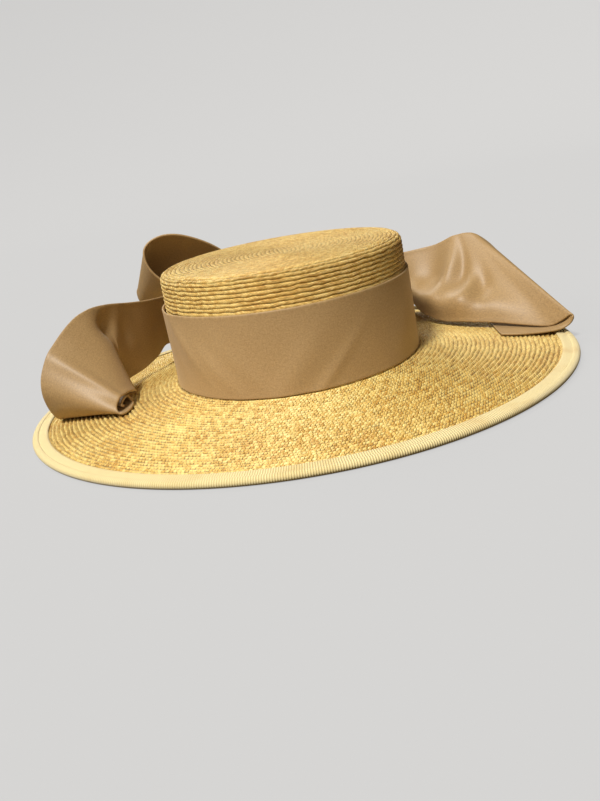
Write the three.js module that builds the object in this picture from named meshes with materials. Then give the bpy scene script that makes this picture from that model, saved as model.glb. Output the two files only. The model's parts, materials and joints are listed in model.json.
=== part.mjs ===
// Straw boater with a wide satin band and a large ribbon bow at the back.
// Millimetres, +Z up. The hat lies on the edge of its brim: z = 0 is the surface under it.
// The origin is the centre of the head opening, the front of the hat is -Y and the bow is at +Y.
import * as THREE from "three";
import { mergeVertices } from "three/addons/utils/BufferGeometryUtils.js";

// Straw: the head opening is a 56 cm hat, and every ring of the hat is this oval grown by the same
// amount all round.
const STRAW = 2.0;
const HEAD_WIDTH = 162;
const HEAD_LENGTH = 196;
const CROWN_HALF_WIDTH = HEAD_WIDTH / 2 + STRAW;
const CROWN_HALF_LENGTH = HEAD_LENGTH / 2 + STRAW;
const CROWN_HEIGHT = 74.5;
const CROWN_TAPER = 0.6;
const TIP_ROUNDING = 5.0;
const BRIM_WIDTH = 103.5;
const BRIM_DROP = 13;

// Ribbons
const FIT = 0.3;
const BINDING = 0.7;
const BINDING_LAP = 10;
const BINDING_SEAT = 4.5;
const BINDING_ROLL_HEIGHT = 4.3;
const BINDING_ROLL_DEPTH = 2.6;
const RIBBON = 1.0;
const BAND_HEIGHT = 51;
const BAND_LIFT = 0.5;
const BOW_RIBBON_WIDTH = 62;

// The brim's edge is carried by the binding, so the foot of the crown is this far above the surface.
const BRIM_EDGE_HEIGHT = STRAW + FIT + BINDING;
const FOOT_HEIGHT = BRIM_EDGE_HEIGHT + BRIM_DROP;
const CROWN_TOP = FOOT_HEIGHT + CROWN_HEIGHT;

// Knot: an oval sleeve of ribbon round the roots of the loops
const KNOT_WIDTH = 24;
const KNOT_DEPTH = 27;
const KNOT_HEIGHT = 48;
const KNOT_CENTRE_HEIGHT = 42.5;
const KNOT_GATHERS = 5;
const KNOT_GATHER_DEPTH = 0.5;

// Facets
const RING_STEPS = 80;
const ROW_STEPS = 3;
const ACROSS_STEPS = 4;
const BAND_ROWS = 5;
const KNOT_STEPS = 24;

const STRAW_COLOUR = 0xd2a95a;
const SATIN_COLOUR = 0xa5835a;
const BINDING_COLOUR = 0xe8d294;

const radians = (degrees) => (degrees * Math.PI) / 180;

/** A point of the hat: `out` from the crown's foot line, at a bearing (+X is 0, +Y is a quarter turn). */
function ringPoint(out, turn, height) {
  return [
    (CROWN_HALF_WIDTH + out) * Math.cos(turn),
    (CROWN_HALF_LENGTH + out) * Math.sin(turn),
    height,
  ];
}

/** Height of the brim's upper face, which falls in a straight line from the crown to the edge. */
function brimTop(out) {
  return FOOT_HEIGHT - (BRIM_DROP * out) / BRIM_WIDTH;
}

/** Closed geometry from a vertex list and triangles. Meeting vertices are merged, slivers dropped. */
function solidGeometry(points, triangles) {
  const geometry = new THREE.BufferGeometry();
  geometry.setAttribute("position", new THREE.Float32BufferAttribute(points.flat(), 3));
  geometry.setIndex(triangles.flat());
  const merged = mergeVertices(geometry, 1e-3);
  const kept = [];
  const index = merged.index.array;
  for (let i = 0; i < index.length; i += 3) {
    const [a, b, c] = [index[i], index[i + 1], index[i + 2]];
    if (a !== b && b !== c && c !== a) kept.push(a, b, c);
  }
  merged.setIndex(kept);
  merged.computeVertexNormals();
  return merged;
}

/**
 * Surface swept round the hat. `section(turn)` gives [out, height] points in the same order at every
 * bearing, running with the solid on the left. A closed section makes a ring. An open one starts and
 * ends where the oval's width is nothing, and makes a cup.
 */
function sweepRound(section, closed) {
  const points = [];
  const triangles = [];
  const count = section(0).length;
  for (let i = 0; i < RING_STEPS; i++) {
    const turn = (2 * Math.PI * i) / RING_STEPS;
    for (const [out, height] of section(turn)) points.push(ringPoint(out, turn, height));
  }
  const spans = closed ? count : count - 1;
  for (let i = 0; i < RING_STEPS; i++) {
    const here = i * count;
    const next = ((i + 1) % RING_STEPS) * count;
    for (let j = 0; j < spans; j++) {
      const k = (j + 1) % count;
      triangles.push([here + j, next + j, next + k], [here + j, next + k, here + k]);
    }
  }
  return solidGeometry(points, triangles);
}

/** Quarter-round between a wall and a flat, from the flat to the wall. */
function rounding(centreOut, centreHeight, radius, steps) {
  const corner = [];
  for (let i = 0; i <= steps; i++) {
    const angle = (Math.PI / 2) * (1 - i / steps);
    corner.push([centreOut + radius * Math.cos(angle), centreHeight + radius * Math.sin(angle)]);
  }
  return corner;
}

function crownGeometry() {
  const top = CROWN_TOP;
  const rim = -CROWN_TAPER - TIP_ROUNDING;
  const outside = rounding(rim, top - TIP_ROUNDING, TIP_ROUNDING, 4);
  const inside = rounding(rim, top - TIP_ROUNDING, TIP_ROUNDING - STRAW, 3).reverse();
  const profile = [
    [-CROWN_HALF_WIDTH, top],
    ...outside,
    [0, brimTop(0) + FIT],
    [-STRAW, brimTop(-STRAW) + FIT],
    ...inside,
    [-CROWN_HALF_WIDTH, top - STRAW],
  ].reverse();
  return sweepRound(() => profile, false);
}

function brimGeometry() {
  const edge = BRIM_WIDTH - BINDING - FIT;
  const profile = [
    [-STRAW, brimTop(-STRAW) - STRAW],
    [BRIM_WIDTH / 2, brimTop(BRIM_WIDTH / 2) - STRAW],
    [edge, brimTop(edge) - STRAW],
    [edge, brimTop(edge)],
    [BRIM_WIDTH / 2, brimTop(BRIM_WIDTH / 2)],
    [-STRAW, brimTop(-STRAW)],
  ];
  return sweepRound(() => profile, true);
}

/** Folded ribbon: a lip over the brim, a roll round its edge and a lip under it with a flat seat. */
function bindingGeometry() {
  const lip = BRIM_WIDTH - BINDING_LAP;
  const mouth = BRIM_WIDTH - BINDING;
  const seat = BRIM_WIDTH - 0.45 * BINDING_ROLL_DEPTH;
  const crest = BRIM_WIDTH - BINDING_ROLL_DEPTH;
  const profile = [
    [lip, brimTop(lip) - STRAW - FIT - BINDING],
    [seat - BINDING_SEAT, 0],
    [seat, 0],
    [BRIM_WIDTH, 0.3 * BINDING_ROLL_HEIGHT],
    [BRIM_WIDTH, 0.7 * BINDING_ROLL_HEIGHT],
    [BRIM_WIDTH - 0.4 * BINDING_ROLL_DEPTH, BINDING_ROLL_HEIGHT],
    [crest, brimTop(crest) + FIT + 1.4 * BINDING],
    [lip, brimTop(lip) + FIT + BINDING],
    [lip, brimTop(lip) + FIT],
    [mouth, brimTop(mouth) + FIT],
    [mouth, brimTop(mouth) - STRAW - FIT],
    [lip, brimTop(lip) - STRAW - FIT],
  ];
  return sweepRound(() => profile, true);
}

// Where the band stands off the crown: a flare of its top edge and soft pulls that slant across it.
// turn: bearing of the middle, in degrees; at: share of the band's height there; reach: half width in
// degrees; slant: degrees of bearing from the foot to the top; depth: mm (minus is a dent).
const BAND_FOLDS = [
  { turn: 198, at: 1.0, reach: 24, slant: 0, depth: 1.4 },
  { turn: 214, at: 0.55, reach: 7, slant: -26, depth: 0.9 },
  { turn: 228, at: 0.35, reach: 8, slant: -30, depth: 0.7 },
  { turn: 262, at: 0.2, reach: 9, slant: 24, depth: 0.5 },
  { turn: 318, at: 0.3, reach: 10, slant: 22, depth: 0.5 },
];

/** How far the band stands off its snug fit, at a bearing and a share of its height. */
function bandStandOff(turn, share) {
  let off = 0;
  for (const fold of BAND_FOLDS) {
    const middle = fold.turn + fold.slant * (share - fold.at);
    let away = ((turn * 180) / Math.PI - middle) % 360;
    if (away > 180) away -= 360;
    if (away < -180) away += 360;
    const along = fold.slant ? Math.exp(-(((share - fold.at) / 0.45) ** 2)) : Math.max(0, share - 0.2) / 0.8;
    off += fold.depth * along * Math.exp(-((away / fold.reach) ** 2));
  }
  return off;
}

/** Where the snug band's inner face is at a height: the crown's tapering wall and the fit. */
function bandFace(height) {
  return (-CROWN_TAPER * (height - FOOT_HEIGHT)) / (CROWN_HEIGHT - TIP_ROUNDING) + FIT + 0.1;
}

function bandGeometry() {
  const foot = FOOT_HEIGHT + BAND_LIFT;
  const section = (turn) => {
    const inner = [];
    const outer = [];
    for (let i = 0; i <= BAND_ROWS; i++) {
      const share = i / BAND_ROWS;
      const height = foot + share * BAND_HEIGHT;
      const face = bandFace(height) + bandStandOff(turn, share);
      inner.push([face, height]);
      outer.push([face + RIBBON, height]);
    }
    return [...outer, ...inner.reverse()];
  };
  return sweepRound(section, true);
}

/** Smooth curve through table rows (Catmull-Rom), at a row number with a fraction. */
function throughRows(rows, at) {
  const i = Math.min(Math.floor(at), rows.length - 2);
  const t = at - i;
  const [a, b, c, d] = [i - 1, i, i + 1, i + 2].map(
    (n) => rows[Math.max(0, Math.min(rows.length - 1, n))],
  );
  return b.map(
    (_, k) =>
      b[k] +
      0.5 * t * (c[k] - a[k] +
        t * (2 * a[k] - 5 * b[k] + 4 * c[k] - d[k] + t * (3 * (b[k] - c[k]) + d[k] - a[k]))),
  );
}

// Bow loops. Each row is a line across the ribbon, from its upper edge to its lower edge, in order along
// the ribbon. turn: bearing in degrees; out: distance from the crown's foot line, as a share of the
// brim's width; up: height above the brim, as a share of the ribbon's width.
// upper turn, out, up, lower turn, out, up
const LEFT_SIDE_ROWS = [
  [92.5, 0.13, 0.4, 92.5, 0.13, 0.111],
  [97.9, 0.138, 0.5, 97.9, 0.138, 0.12],
  [113.9, 0.189, 0.669, 114.2, 0.224, 0.112],
  [129.4, 0.253, 0.763, 129.7, 0.322, 0.164],
  [140.6, 0.276, 0.816, 140.6, 0.352, 0.251],
  [151.6, 0.286, 0.855, 149.8, 0.317, 0.179],
  [159.4, 0.345, 0.911, 158.4, 0.342, 0.12],
  [164.3, 0.384, 0.956, 166.6, 0.401, 0.107],
  [167.1, 0.419, 0.985, 172.8, 0.496, 0.088],
  [169.4, 0.448, 1.004, 177.6, 0.437, 0.056],
  [171.6, 0.48, 1.02, 180.9, 0.319, 0.043],
  [174.8, 0.53, 1.027, 186.1, 0.31, 0.097],
  [178.2, 0.604, 0.998, 190.2, 0.337, 0.143],
  [182, 0.692, 0.903, 192.9, 0.369, 0.163],
  [185.1, 0.786, 0.753, 195.4, 0.417, 0.16],
  [186.7, 0.85, 0.581, 197.4, 0.456, 0.12],
  [187, 0.87, 0.392, 198.9, 0.462, 0.065],
  [185.2, 0.855, 0.179, 199.3, 0.434, 0.028],
  [182.5, 0.82, 0.03, 197.9, 0.392, 0.021],
  [177.3, 0.784, 0.02, 195.4, 0.359, 0.02],
  [171.9, 0.755, 0.02, 192.6, 0.339, 0.02],
];
const RIGHT_SIDE_ROWS = [
  [87.5, 0.13, 0.4, 87.5, 0.13, 0.111],
  [82.1, 0.138, 0.5, 82.1, 0.138, 0.12],
  [66.1, 0.189, 0.669, 65.8, 0.224, 0.112],
  [50.2, 0.274, 0.751, 49.3, 0.315, 0.131],
  [39.8, 0.358, 0.793, 37, 0.313, 0.227],
  [33.3, 0.438, 0.834, 28.8, 0.296, 0.226],
  [28, 0.515, 0.89, 22, 0.287, 0.096],
  [24.1, 0.568, 0.947, 13.1, 0.334, 0.025],
  [21.6, 0.606, 0.99, 5.5, 0.432, 0.036],
  [20.1, 0.633, 1.013, 0, 0.593, 0.052],
  [19.1, 0.655, 1.025, -4.8, 0.756, 0.055],
  [18.1, 0.678, 1.029, -7.7, 0.873, 0.07],
  [17.2, 0.701, 1.021, -9.2, 0.94, 0.136],
  [16.2, 0.733, 0.984, -10.3, 0.994, 0.213],
  [14.7, 0.793, 0.876, -10.7, 1.013, 0.203],
  [12.6, 0.859, 0.68, -10.6, 1.003, 0.149],
  [9.7, 0.922, 0.419, -10.5, 0.97, 0.097],
  [7.2, 0.96, 0.185, -10.6, 0.918, 0.06],
  [5.8, 0.945, 0.048, -10.8, 0.821, 0.037],
  [6.9, 0.801, 0.03, -10.9, 0.669, 0.022],
  [9.5, 0.613, 0.02, -10.3, 0.547, 0.02],
];
const LEFT_STANDING_ROWS = [
  [92.5, 0.17, 0.58, 92.3, 0.222, 0.55],
  [97.9, 0.158, 0.62, 97.1, 0.255, 0.53],
  [117.1, 0.139, 0.779, 111.2, 0.419, 0.523],
  [130.2, 0.235, 0.856, 120.9, 0.643, 0.562],
  [136.1, 0.315, 0.969, 128.1, 0.778, 0.663],
  [138.7, 0.378, 1.12, 130.7, 0.819, 0.785],
  [139.6, 0.416, 1.281, 131.5, 0.822, 0.898],
  [138.8, 0.423, 1.435, 131.3, 0.798, 0.982],
  [136.3, 0.386, 1.521, 129.4, 0.73, 1.008],
  [132, 0.315, 1.539, 125.5, 0.623, 0.978],
  [126.1, 0.236, 1.469, 119.9, 0.508, 0.921],
  [116.7, 0.174, 1.294, 111.9, 0.383, 0.846],
  [107.5, 0.151, 1.064, 104.6, 0.301, 0.789],
  [97.9, 0.15, 0.815, 97.1, 0.235, 0.745],
  [92.5, 0.152, 0.806, 92.3, 0.204, 0.762],
];
const RIGHT_STANDING_ROWS = [
  [87.5, 0.17, 0.58, 87.7, 0.222, 0.55],
  [82.1, 0.158, 0.62, 82.9, 0.255, 0.53],
  [63.7, 0.169, 0.751, 69.7, 0.442, 0.528],
  [50.9, 0.323, 0.794, 60.8, 0.66, 0.574],
  [45.1, 0.449, 0.807, 55.2, 0.788, 0.649],
  [43.2, 0.529, 0.853, 52.3, 0.856, 0.744],
  [42.8, 0.554, 0.971, 51.4, 0.867, 0.827],
  [43.7, 0.542, 1.081, 51.9, 0.841, 0.894],
  [46.5, 0.482, 1.141, 53.9, 0.769, 0.919],
  [50.9, 0.4, 1.14, 57.1, 0.668, 0.906],
  [57.4, 0.301, 1.095, 62.2, 0.539, 0.863],
  [67.1, 0.207, 0.995, 70.3, 0.395, 0.809],
  [75.1, 0.166, 0.898, 77, 0.308, 0.766],
  [82.1, 0.15, 0.815, 82.9, 0.235, 0.745],
  [87.5, 0.152, 0.806, 87.7, 0.204, 0.762],
];

// Folds of the loops, pressed in along the ribbon's own normal as bells. row and across: where the
// middle is; length: half length in rows; width: half width as a share across; slant: rows that it runs
// on over the full width; depth: mm, to the side that the crown is on where it is minus on the left.
const LEFT_SIDE_FOLDS = [
  { row: 9.2, across: 0.24, length: 1.1, width: 0.14, slant: 0, depth: -5.5 },
  { row: 7.9, across: 0.52, length: 1.1, width: 0.24, slant: 0, depth: 6 },
  { row: 12, across: 0.5, length: 1.6, width: 0.3, slant: 0, depth: 2.5 },
];
const RIGHT_SIDE_FOLDS = [
  { row: 6.2, across: 0.34, length: 0.8, width: 0.4, slant: 0, depth: 3.5 },
  { row: 7.3, across: 0.38, length: 0.5, width: 0.45, slant: -1.4, depth: -4.2 },
  { row: 7.95, across: 0.42, length: 0.42, width: 0.35, slant: -2.3, depth: 3 },
  { row: 8.25, across: 0.72, length: 0.35, width: 0.3, slant: -1.7, depth: -2.2 },
  { row: 8.95, across: 0.66, length: 0.42, width: 0.2, slant: -2.6, depth: 3.6 },
];

/** How far the folds push the ribbon along its normal, at a row and a share across. */
function foldPush(folds, at, across) {
  let push = 0;
  for (const fold of folds) {
    const along = (at - fold.row - fold.slant * (across - fold.across)) / fold.length;
    const over = (across - fold.across) / fold.width;
    push += fold.depth * Math.exp(-along * along - over * over);
  }
  return push;
}

/** One edge point of a loop row, in millimetres. */
function loopPoint(turn, out, up) {
  const distance = out * BRIM_WIDTH;
  return ringPoint(distance, radians(turn), brimTop(distance) + up * BOW_RIBBON_WIDTH);
}

/**
 * Closed slab of the ribbon's thickness. The middle surface runs through the rows, straight across the
 * ribbon, and its folds and thickness are laid on along its own normal.
 */
function ribbonGeometry(table, folds) {
  const rows = table.map((row) => [...loopPoint(...row.slice(0, 3)), ...loopPoint(...row.slice(3))]);
  const middle = (at, across) => {
    const line = throughRows(rows, Math.max(0, Math.min(rows.length - 1, at)));
    return new THREE.Vector3(...line.slice(0, 3)).lerp(new THREE.Vector3(...line.slice(3)), across);
  };
  const steps = (rows.length - 1) * ROW_STEPS;
  const points = [];
  for (let i = 0; i <= steps; i++) {
    for (let j = 0; j <= ACROSS_STEPS; j++) {
      const at = i / ROW_STEPS;
      const across = j / ACROSS_STEPS;
      const along = middle(at + 0.02, across).sub(middle(at - 0.02, across));
      const over = middle(at, 1).sub(middle(at, 0));
      const normal = new THREE.Vector3().crossVectors(along, over).normalize();
      const centre = middle(at, across);
      const push = foldPush(folds, at, across);
      for (const side of [0.5, -0.5]) {
        points.push(centre.clone().addScaledVector(normal, push + side * RIBBON).toArray());
      }
    }
  }
  const vertex = (i, j, side) => 2 * (i * (ACROSS_STEPS + 1) + j) + side;
  const triangles = [];
  const quad = (a, b, c, d) => triangles.push([a, b, c], [a, c, d]);
  for (let i = 0; i < steps; i++) {
    for (let j = 0; j < ACROSS_STEPS; j++) {
      quad(vertex(i, j, 0), vertex(i + 1, j, 0), vertex(i + 1, j + 1, 0), vertex(i, j + 1, 0));
      quad(vertex(i, j, 1), vertex(i, j + 1, 1), vertex(i + 1, j + 1, 1), vertex(i + 1, j, 1));
    }
    quad(vertex(i, 0, 0), vertex(i, 0, 1), vertex(i + 1, 0, 1), vertex(i + 1, 0, 0));
    const far = ACROSS_STEPS;
    quad(vertex(i, far, 0), vertex(i + 1, far, 0), vertex(i + 1, far, 1), vertex(i, far, 1));
  }
  for (let j = 0; j < ACROSS_STEPS; j++) {
    quad(vertex(0, j, 0), vertex(0, j + 1, 0), vertex(0, j + 1, 1), vertex(0, j, 1));
    quad(vertex(steps, j, 0), vertex(steps, j, 1), vertex(steps, j + 1, 1), vertex(steps, j + 1, 0));
  }
  return solidGeometry(points, triangles);
}

/** Oval sleeve with gathers that run round it, open at its left and right ends. */
function knotGeometry() {
  const points = [];
  const triangles = [];
  const columns = 2 * KNOT_GATHERS;
  const section = [];
  for (let j = 0; j <= columns; j++) section.push([j / columns, 1]);
  for (let j = columns; j >= 0; j--) section.push([j / columns, 0]);
  for (let i = 0; i < KNOT_STEPS; i++) {
    const angle = (2 * Math.PI * i) / KNOT_STEPS;
    for (const [share, outer] of section) {
      const waist = 1.5 * Math.sin(Math.PI * share);
      const gather = KNOT_GATHER_DEPTH * Math.cos(2 * Math.PI * KNOT_GATHERS * share);
      const off = outer * RIBBON + gather - waist;
      points.push([
        (share - 0.5) * KNOT_WIDTH,
        (KNOT_DEPTH / 2 + off) * Math.cos(angle),
        (KNOT_HEIGHT / 2 + off) * Math.sin(angle),
      ]);
    }
  }
  const count = section.length;
  for (let i = 0; i < KNOT_STEPS; i++) {
    const here = i * count;
    const next = ((i + 1) % KNOT_STEPS) * count;
    for (let j = 0; j < count; j++) {
      const k = (j + 1) % count;
      triangles.push([here + j, next + j, next + k], [here + j, next + k, here + k]);
    }
  }
  return solidGeometry(points, triangles);
}

const strawMaterial = new THREE.MeshStandardMaterial({ color: STRAW_COLOUR, roughness: 0.6, metalness: 0 });
const satinMaterial = new THREE.MeshStandardMaterial({ color: SATIN_COLOUR, roughness: 0.4, metalness: 0 });
const bindingMaterial = new THREE.MeshStandardMaterial({ color: BINDING_COLOUR, roughness: 0.8, metalness: 0 });

const hat = new THREE.Group();

function addPiece(name, geometry, material) {
  const mesh = new THREE.Mesh(geometry, material.clone());
  mesh.name = name;
  hat.add(mesh);
  return mesh;
}

addPiece("crown", crownGeometry(), strawMaterial);
addPiece("brim", brimGeometry(), strawMaterial);
addPiece("brim_binding", bindingGeometry(), bindingMaterial);
addPiece("hat_band", bandGeometry(), satinMaterial);
addPiece("loop_left_side", ribbonGeometry(LEFT_SIDE_ROWS, LEFT_SIDE_FOLDS), satinMaterial);
addPiece("loop_right_side", ribbonGeometry(RIGHT_SIDE_ROWS, RIGHT_SIDE_FOLDS), satinMaterial);
addPiece("loop_left_standing", ribbonGeometry(LEFT_STANDING_ROWS, []), satinMaterial);
addPiece("loop_right_standing", ribbonGeometry(RIGHT_STANDING_ROWS, []), satinMaterial);
const knot = addPiece("bow_knot", knotGeometry(), satinMaterial);
// The knot's two ends touch the band a little way round the oval from its middle.
const knotFlank = Math.sqrt(1 - (KNOT_WIDTH / 2 / CROWN_HALF_WIDTH) ** 2);
const bandBack = (CROWN_HALF_LENGTH + bandFace(KNOT_CENTRE_HEIGHT) + RIBBON) * knotFlank;
const knotHalfDepth = KNOT_DEPTH / 2 + RIBBON + KNOT_GATHER_DEPTH;
knot.position.set(0, bandBack + FIT + knotHalfDepth, KNOT_CENTRE_HEIGHT);

export default hat;
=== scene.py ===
# %% [markdown]
# # A straw boater with a satin bow
#
# The hat is sewn from narrow straw braid, trimmed with a wide satin band and finished with a large
# bow of the same ribbon at the back. Every surface here is worked out with numpy on a grid and put
# into a mesh in one go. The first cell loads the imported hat, which fixes the size and the place of
# everything that follows.

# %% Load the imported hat
import json
import math

import bpy
import numpy as np
from mathutils import Matrix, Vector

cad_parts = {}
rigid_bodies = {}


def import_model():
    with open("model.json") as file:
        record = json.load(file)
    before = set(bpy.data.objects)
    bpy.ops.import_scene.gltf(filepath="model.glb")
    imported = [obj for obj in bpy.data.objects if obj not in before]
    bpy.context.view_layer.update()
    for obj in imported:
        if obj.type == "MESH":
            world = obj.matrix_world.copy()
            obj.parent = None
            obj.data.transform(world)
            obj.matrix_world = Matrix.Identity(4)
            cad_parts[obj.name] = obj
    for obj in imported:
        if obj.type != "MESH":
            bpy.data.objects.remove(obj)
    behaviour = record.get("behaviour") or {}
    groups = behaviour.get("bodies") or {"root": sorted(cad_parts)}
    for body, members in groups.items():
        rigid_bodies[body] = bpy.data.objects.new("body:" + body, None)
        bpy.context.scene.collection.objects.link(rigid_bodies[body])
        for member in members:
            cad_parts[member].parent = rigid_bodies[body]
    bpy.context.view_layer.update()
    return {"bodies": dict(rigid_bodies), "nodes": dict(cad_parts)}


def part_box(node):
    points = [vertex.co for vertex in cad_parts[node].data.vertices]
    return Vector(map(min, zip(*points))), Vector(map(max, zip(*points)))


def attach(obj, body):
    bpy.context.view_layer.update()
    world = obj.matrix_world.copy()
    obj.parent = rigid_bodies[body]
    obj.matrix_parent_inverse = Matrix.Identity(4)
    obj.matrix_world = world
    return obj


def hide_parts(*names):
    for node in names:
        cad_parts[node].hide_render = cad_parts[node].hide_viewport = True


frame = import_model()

BODY = list(frame["bodies"])[0]
MM = 0.001
print("body", BODY, "nodes", sorted(frame["nodes"]))

# %% [markdown]
# ## Camera
#
# The photograph looks slightly down at the front of the hat, and the hat leans a little in the
# picture. A camera that was matched to the oval of the crown and to the edge of the brim gives the
# same view. Its place and its three axes are worked out from two angles, a roll and a distance.

# %% Place the camera
VIEW_TURN = -0.059376
VIEW_RISE = 0.271264
VIEW_ROLL = -0.181165
VIEW_DISTANCE = 650 * MM
VIEW_SHIFT = (-1.649 * MM, 30.997 * MM)
VIEW_AIM = np.array([0.0, 0.0, 16 * MM])
FOCAL_PIXELS = 928.94
PICTURE_HEIGHT = 801

back = np.array(
    [
        math.sin(VIEW_TURN) * math.cos(VIEW_RISE),
        -math.cos(VIEW_TURN) * math.cos(VIEW_RISE),
        math.sin(VIEW_RISE),
    ]
)
level = np.array([math.cos(VIEW_TURN), math.sin(VIEW_TURN), 0.0])
upright = np.cross(back, level)
right = level * math.cos(VIEW_ROLL) + upright * math.sin(VIEW_ROLL)
above = upright * math.cos(VIEW_ROLL) - level * math.sin(VIEW_ROLL)
eye = VIEW_AIM + VIEW_DISTANCE * back - VIEW_SHIFT[0] * right - VIEW_SHIFT[1] * above

lens = bpy.data.cameras.new("camera")
lens.sensor_width = 36
lens.lens = 36 * FOCAL_PIXELS / PICTURE_HEIGHT
lens.clip_start = 0.01
lens.clip_end = 50
camera = bpy.data.objects.new("camera", lens)
bpy.context.scene.collection.objects.link(camera)
pose = np.eye(4)
pose[:3, 0] = right
pose[:3, 1] = above
pose[:3, 2] = back
pose[:3, 3] = eye
camera.matrix_world = Matrix(pose.tolist())
bpy.context.scene.camera = camera
bpy.context.scene.view_settings.view_transform = "Standard"
print("camera at", np.round(eye, 3), "lens", round(lens.lens, 2), "mm")

# %% [markdown]
# ## The hat's oval
#
# A hat is not round but oval, and every row of braid is the same oval grown outwards by the same
# amount. So a point of the hat needs only three numbers: its bearing, its distance from the foot of
# the crown, and its height. All the straw and the ribbon below is measured in this way.

# %% Sizes and the oval
STRAW = 2.0 * MM
CROWN_HALF_WIDTH = 83.0 * MM
CROWN_HALF_LENGTH = 100.0 * MM
CROWN_HEIGHT = 74.5 * MM
CROWN_TAPER = 0.6 * MM
TIP_ROUNDING = 5.0 * MM
BRIM_WIDTH = 103.5 * MM
BRIM_DROP = 13.0 * MM
FOOT_HEIGHT = 16.0 * MM
CROWN_TOP = FOOT_HEIGHT + CROWN_HEIGHT
FIT = 0.3 * MM
RIBBON = 1.0 * MM
BAND_HEIGHT = 51.0 * MM
BAND_FOOT = FOOT_HEIGHT + 0.5 * MM
BOW_RIBBON_WIDTH = 62.0 * MM


def oval(out, turn, height):
    """Point of the hat: x = (half width + out) cos(turn), y = (half length + out) sin(turn), z = height."""
    out, turn, height = np.broadcast_arrays(out, turn, height)
    x = (CROWN_HALF_WIDTH + out) * np.cos(turn)
    y = (CROWN_HALF_LENGTH + out) * np.sin(turn)
    return np.stack([x, y, height], axis=-1)


def brim_top(out):
    """Height of the brim's upper face: a straight fall from the foot of the crown to the edge."""
    return FOOT_HEIGHT - BRIM_DROP * out / BRIM_WIDTH


print("hat", 2 * (CROWN_HALF_WIDTH + BRIM_WIDTH), "by", 2 * (CROWN_HALF_LENGTH + BRIM_WIDTH), "m")

# %% [markdown]
# ## From a grid of points to a mesh
#
# Blender can take whole arrays at once with foreach_set, which is much faster than adding faces one
# by one. A grid of points becomes quads between neighbours. A grid that runs round the hat is joined
# to its own start, and a grid that also closes across is a ring with a skin all round.

# %% Mesh helper


def grid_piece(name, points, uv, around=False, across=False, caps=False, weld=None):
    """Mesh from points[i, j], with its outside where j runs away from you and i to the left.

    uv[i, j] has one more line than points in each direction that closes, or it is given for each
    quad's corners, as uv[i, j, corner]. caps joins the two faces of an open slab at its first and
    last line. weld gives the number of the point that each point meets.
    """
    lines, columns = points.shape[:2]
    i = np.arange(lines if around else lines - 1)[:, None]
    j = np.arange(columns if across else columns - 1)[None, :]
    i_next = (i + 1) % lines
    j_next = (j + 1) % columns
    quads = np.stack(
        [
            i * columns + j,
            i * columns + j_next,
            i_next * columns + j_next,
            i_next * columns + j,
        ],
        axis=-1,
    )
    if uv.ndim == 3:
        corners = np.stack([uv[i, j], uv[i, j + 1], uv[i + 1, j + 1], uv[i + 1, j]], axis=-2)
    else:
        corners = uv
    quads = quads.reshape(-1, 4)
    corners = corners.reshape(-1, 4, 2)
    if caps:
        half = columns // 2
        k = np.arange(half - 1)
        mirror = columns - 1 - k
        first = np.stack([k, mirror, mirror - 1, k + 1], axis=-1)
        last = first[:, ::-1] + (lines - 1) * columns
        ends = np.concatenate([first, last])
        flat = points.reshape(-1, 3)[ends][..., :2]
        quads = np.concatenate([quads, ends])
        corners = np.concatenate([corners, flat])
    if weld is not None:
        quads = weld[quads]
    used, renumbered = np.unique(quads, return_inverse=True)
    renumbered = renumbered.reshape(-1, 4)
    mesh = bpy.data.meshes.new(name)
    mesh.vertices.add(len(used))
    mesh.vertices.foreach_set("co", points.reshape(-1, 3)[used].astype(np.float32).ravel())
    mesh.loops.add(renumbered.size)
    mesh.loops.foreach_set("vertex_index", renumbered.astype(np.int32).ravel())
    mesh.polygons.add(len(renumbered))
    mesh.polygons.foreach_set("loop_start", np.arange(0, renumbered.size, 4, dtype=np.int32))
    mesh.polygons.foreach_set("use_smooth", np.ones(len(renumbered), dtype=bool))
    layer = mesh.uv_layers.new(name="UVMap")
    layer.uv.foreach_set("vector", corners.astype(np.float32).ravel())
    mesh.update(calc_edges=True)
    mesh.validate()
    piece = bpy.data.objects.new(name, mesh)
    bpy.context.scene.collection.objects.link(piece)
    print(name, len(renumbered) * 2, "triangles")
    return piece


def finish_piece(piece, material, slot, *nodes):
    """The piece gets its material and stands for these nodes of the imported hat."""
    piece.data.materials.append(material)
    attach(piece, BODY)
    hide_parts(*nodes)


# %% [markdown]
# ## Building materials from nodes
#
# The two helpers below keep the node code short. `wire` puts a number or a link into a socket, and
# `formula` adds one Math node. Longer patterns are then sums of such nodes, like a formula on paper.

# %% Node helpers


def wire(tree, socket, value):
    """Links a socket to a socket, or sets it to a number, a colour or a vector."""
    if isinstance(value, bpy.types.NodeSocket):
        tree.links.new(value, socket)
    else:
        socket.default_value = value


def formula(tree, operation, *values, clamp=False):
    """One Math node: operation(values)."""
    node = tree.nodes.new("ShaderNodeMath")
    node.operation = operation
    node.use_clamp = clamp
    for socket, value in zip(node.inputs, values):
        wire(tree, socket, value)
    return node.outputs[0]


def blend_colours(tree, share, first, second, mode="MIX"):
    """One Mix node on two colours."""
    node = tree.nodes.new("ShaderNodeMix")
    node.data_type = "RGBA"
    node.blend_type = mode
    wire(tree, node.inputs[0], share)
    wire(tree, node.inputs[6], first)
    wire(tree, node.inputs[7], second)
    return node.outputs[2]


def steps_between(tree, value, low, high):
    """0 below low, 1 above high, smooth in between. low may be above high."""
    node = tree.nodes.new("ShaderNodeMapRange")
    node.interpolation_type = "SMOOTHSTEP"
    wire(tree, node.inputs["Value"], value)
    wire(tree, node.inputs["From Min"], low)
    wire(tree, node.inputs["From Max"], high)
    return node.outputs["Result"]


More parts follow.
